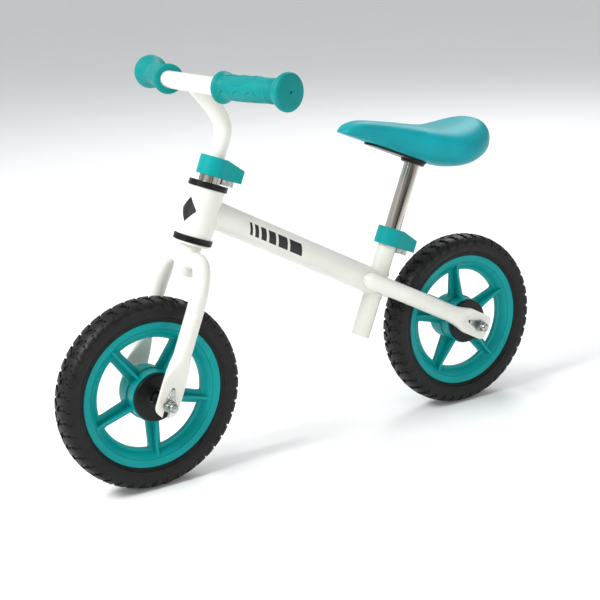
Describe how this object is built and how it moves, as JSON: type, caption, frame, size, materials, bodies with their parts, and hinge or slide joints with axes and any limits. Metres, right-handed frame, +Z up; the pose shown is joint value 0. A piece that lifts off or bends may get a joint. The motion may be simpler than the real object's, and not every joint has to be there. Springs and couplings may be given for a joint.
{
  "type": "balance bike",
  "caption": "Child's balance bike with foam tyres on moulded five-spoke wheels, turning fork, and clamped height adjustment for handlebar and saddle.",
  "frame": {"origin": "on the ground, under the middle of the wheelbase, on the centre plane", "axes": "+Z up, the bike faces -Y, the rider's left is +X"},
  "size_m": [0.37, 0.7288, 0.5194],
  "materials": {
    "white_enamel": "gloss white powder coat on steel tube",
    "teal_plastic": "satin injection-moulded plastic",
    "grip_rubber": "soft moulded rubber, fine matt texture",
    "saddle_foam": "integral-skin moulded foam, smooth satin",
    "tyre_foam": "black solid foam tyre, matt",
    "black_plastic": "black moulded plastic",
    "zinc_steel": "bright zinc plate",
    "bearing_steel": "ground bearing steel",
    "chrome_steel": "bright chrome plate"
  },
  "bodies": {
    "frame": {"head_tube": "white_enamel", "main_tube": "white_enamel", "seat_tube": "white_enamel", "stay_left": "white_enamel", "stay_right": "white_enamel", "upper_headset_cup": "black_plastic", "lower_headset_cup": "black_plastic", "upper_headset_bearing": "bearing_steel", "lower_headset_bearing": "bearing_steel", "seat_clamp_cover": "teal_plastic", "seat_clamp_band": "zinc_steel", "seat_clamp_bolt": "zinc_steel", "seat_clamp_nut": "zinc_steel", "rear_axle": "zinc_steel", "rear_axle_nut_left": "zinc_steel", "rear_axle_nut_right": "zinc_steel", "rear_axle_spacer_left": "zinc_steel", "rear_axle_spacer_right": "zinc_steel", "rear_tab_washer_left": "zinc_steel", "rear_tab_washer_right": "zinc_steel"},
    "fork": {"steerer_tube": "chrome_steel", "crown_race": "white_enamel", "fork_leg_left": "white_enamel", "fork_leg_right": "white_enamel", "stem_clamp_cover": "teal_plastic", "stem_clamp_band": "zinc_steel", "stem_clamp_bolt": "zinc_steel", "stem_clamp_nut": "zinc_steel", "front_axle": "zinc_steel", "front_axle_nut_left": "zinc_steel", "front_axle_nut_right": "zinc_steel", "front_axle_spacer_left": "zinc_steel", "front_axle_spacer_right": "zinc_steel", "front_tab_washer_left": "zinc_steel", "front_tab_washer_right": "zinc_steel"},
    "handlebar": {"handlebar_stem": "white_enamel", "handlebar_tube": "white_enamel", "grip_left": "grip_rubber", "grip_right": "grip_rubber"},
    "saddle": {"seat_post": "chrome_steel", "saddle_pad": "saddle_foam", "saddle_base": "black_plastic"},
    "front_wheel": {"front_tyre": "tyre_foam", "front_rim": "teal_plastic", "front_hub_cap_left": "black_plastic", "front_hub_cap_right": "black_plastic", "front_wheel_bearing_left": "bearing_steel", "front_wheel_bearing_right": "bearing_steel"},
    "rear_wheel": {"rear_tyre": "tyre_foam", "rear_rim": "teal_plastic", "rear_hub_cap_left": "black_plastic", "rear_hub_cap_right": "black_plastic", "rear_wheel_bearing_left": "bearing_steel", "rear_wheel_bearing_right": "bearing_steel"}
  },
  "joints": [
    {"name": "steering", "type": "hinge", "parent": "frame", "child": "fork", "pos_m": [0, -0.243, 0.12141], "axis": [0, 0.3746, 0.9272], "range_deg": [-60, 60]},
    {"name": "front_wheel_spin", "type": "hinge", "parent": "fork", "child": "front_wheel", "pos_m": [0, -0.243, 0.12141], "axis": [1, 0, 0], "continuous": true},
    {"name": "rear_wheel_spin", "type": "hinge", "parent": "frame", "child": "rear_wheel", "pos_m": [0, 0.243, 0.12141], "axis": [1, 0, 0], "continuous": true},
    {"name": "handlebar_height", "type": "slide", "parent": "fork", "child": "handlebar", "axis": [0, 0.3746, 0.9272], "range_m": [0, 0.05]},
    {"name": "saddle_height", "type": "slide", "parent": "frame", "child": "saddle", "axis": [0, 0.3907, 0.9205], "range_m": [-0.06, 0.03]}
  ]
}
